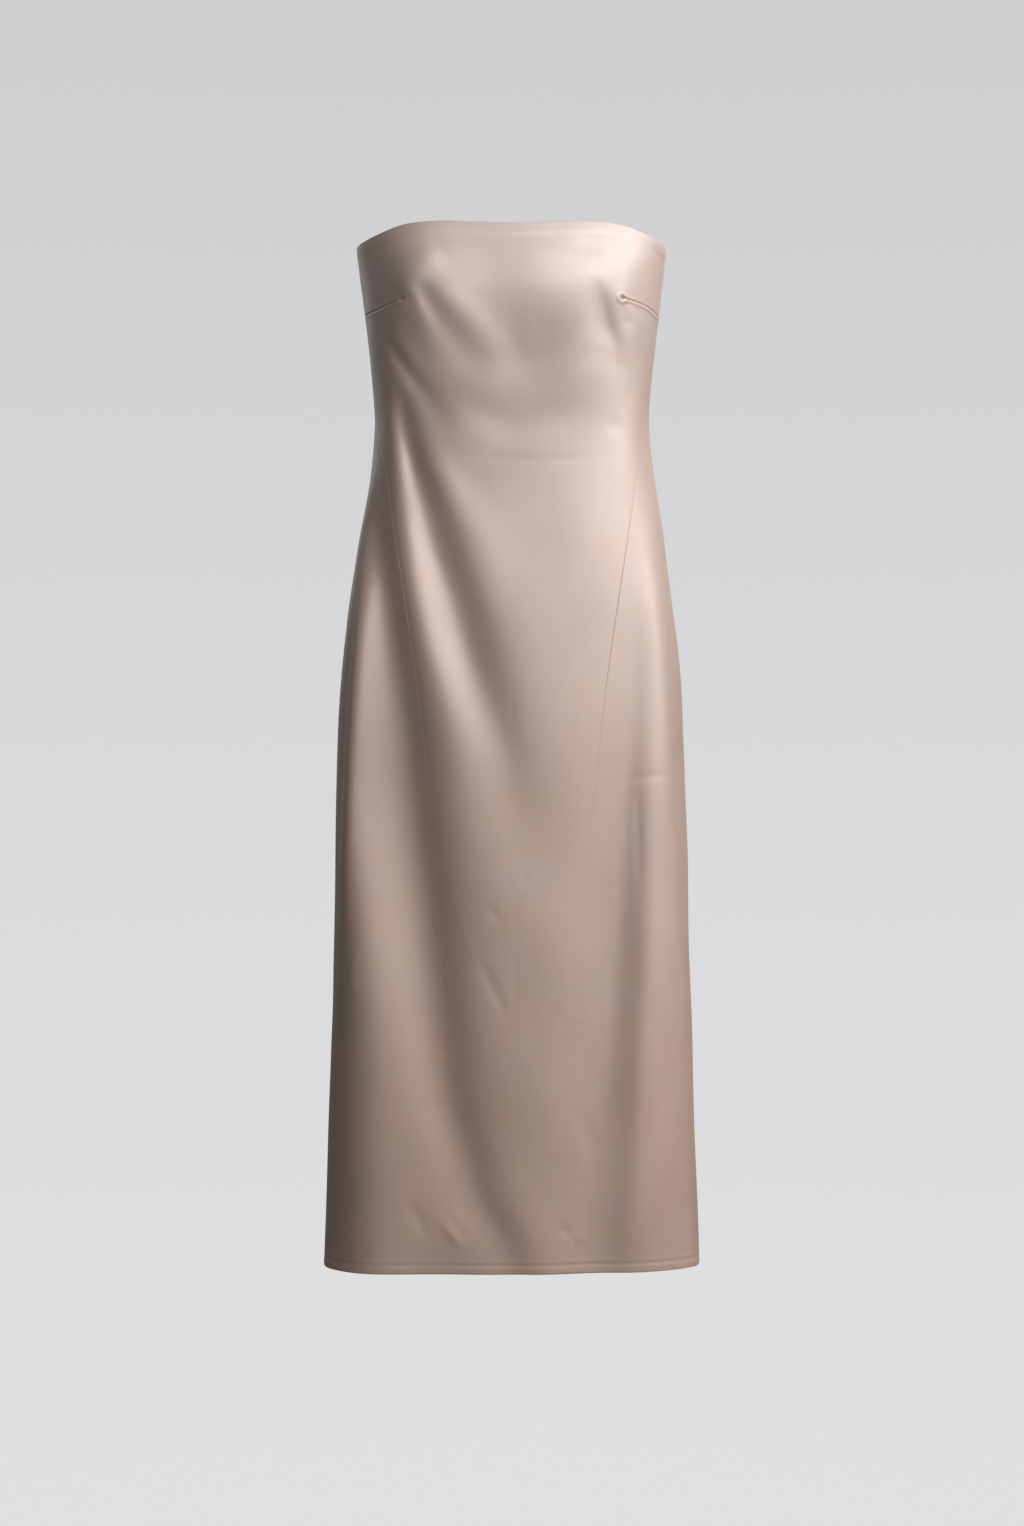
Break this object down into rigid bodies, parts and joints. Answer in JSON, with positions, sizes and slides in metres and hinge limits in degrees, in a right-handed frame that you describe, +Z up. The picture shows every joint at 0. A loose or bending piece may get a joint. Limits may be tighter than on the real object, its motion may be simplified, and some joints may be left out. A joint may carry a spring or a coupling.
{
  "type": "strapless dress",
  "caption": "Strapless midi column dress in satin, filled out and hollow, with bust darts, curved skirt seams and a back zip.",
  "frame": {"origin": "middle of the open top edge, at the height of the side seams' top ends, where the wearer's bust holds the dress", "axes": "+Z up along the dress, -Y out of the front, +Y out of the back, +X towards the wearer's left"},
  "size_m": [0.374, 0.2476, 1.0441],
  "materials": {
    "satin": "soft satin",
    "zip_tape": "knitted tape",
    "zip_lacquer": "gloss lacquer in the cloth's colour"
  },
  "bodies": {
    "dress": {"front": "satin", "side_front_right": "satin", "side_front_left": "satin", "back_left": "satin", "back_right": "satin", "zip_tape_left": "zip_tape", "zip_tape_right": "zip_tape", "zip_slider": "zip_lacquer"},
    "pull": {"zip_pull": "zip_lacquer"}
  },
  "joints": [
    {"name": "pull_swing", "type": "hinge", "parent": "dress", "child": "pull", "pos_m": [0, 0.09264, -0.0204], "axis": [1, 0, 0], "range_deg": [0, 165]}
  ]
}
